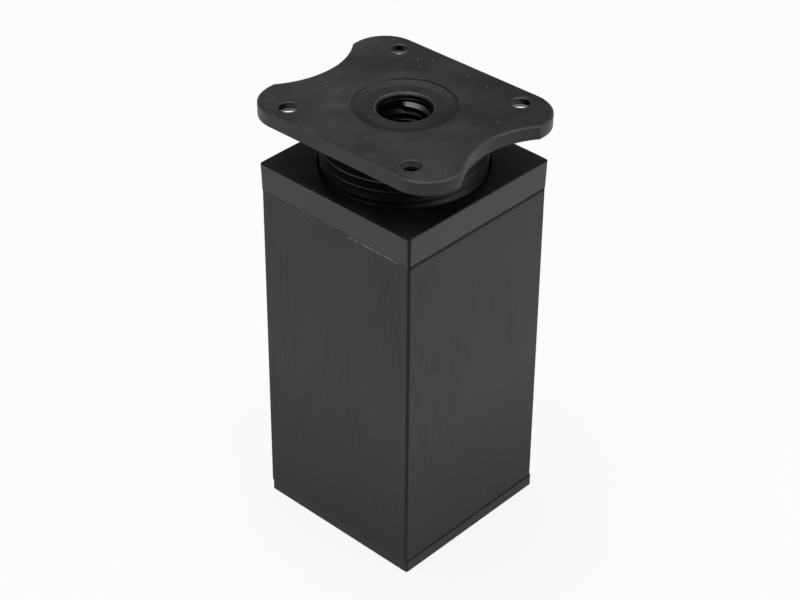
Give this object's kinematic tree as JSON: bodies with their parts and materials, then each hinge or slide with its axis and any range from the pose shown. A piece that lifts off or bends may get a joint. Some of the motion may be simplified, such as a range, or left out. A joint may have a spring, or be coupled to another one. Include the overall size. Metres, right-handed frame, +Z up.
{
  "type": "square table leg",
  "caption": "Short square furniture leg: a brushed metal tube with a moulded foot plug, a moulded top cap and a screw-in mounting plate that sets its height.",
  "frame": {"origin": "on the floor, under the middle of the leg", "axes": "+Z up along the leg, X and Y square to the tube's faces; the plate's long side lies along X"},
  "size_m": [0.0558, 0.0468, 0.1081],
  "materials": {
    "tube": "brushed, black anodised",
    "top_cap": "satin moulded",
    "foot_plug": "satin moulded",
    "mounting_plate": "satin moulded",
    "threaded_insert": "blackened, semi-bright"
  },
  "bodies": {
    "leg": {"tube": "tube", "top_cap": "top_cap", "foot_plug": "foot_plug"},
    "insert": {"threaded_insert": "threaded_insert"},
    "plate": {"mounting_plate": "mounting_plate"}
  },
  "joints": [
    {"name": "plate_lift", "type": "slide", "parent": "leg", "child": "insert", "axis": [0, 0, 1], "range_m": [-0.0108, 0.0012]},
    {"name": "plate_turn", "type": "hinge", "parent": "insert", "child": "plate", "pos_m": [0, 0, 0.1], "axis": [0, 0, 1], "range_deg": [-1680, 180]}
  ],
  "couplings": [
    {"joint": "plate_lift", "follows": "plate_turn", "m_per_rad": 0.00036606}
  ]
}
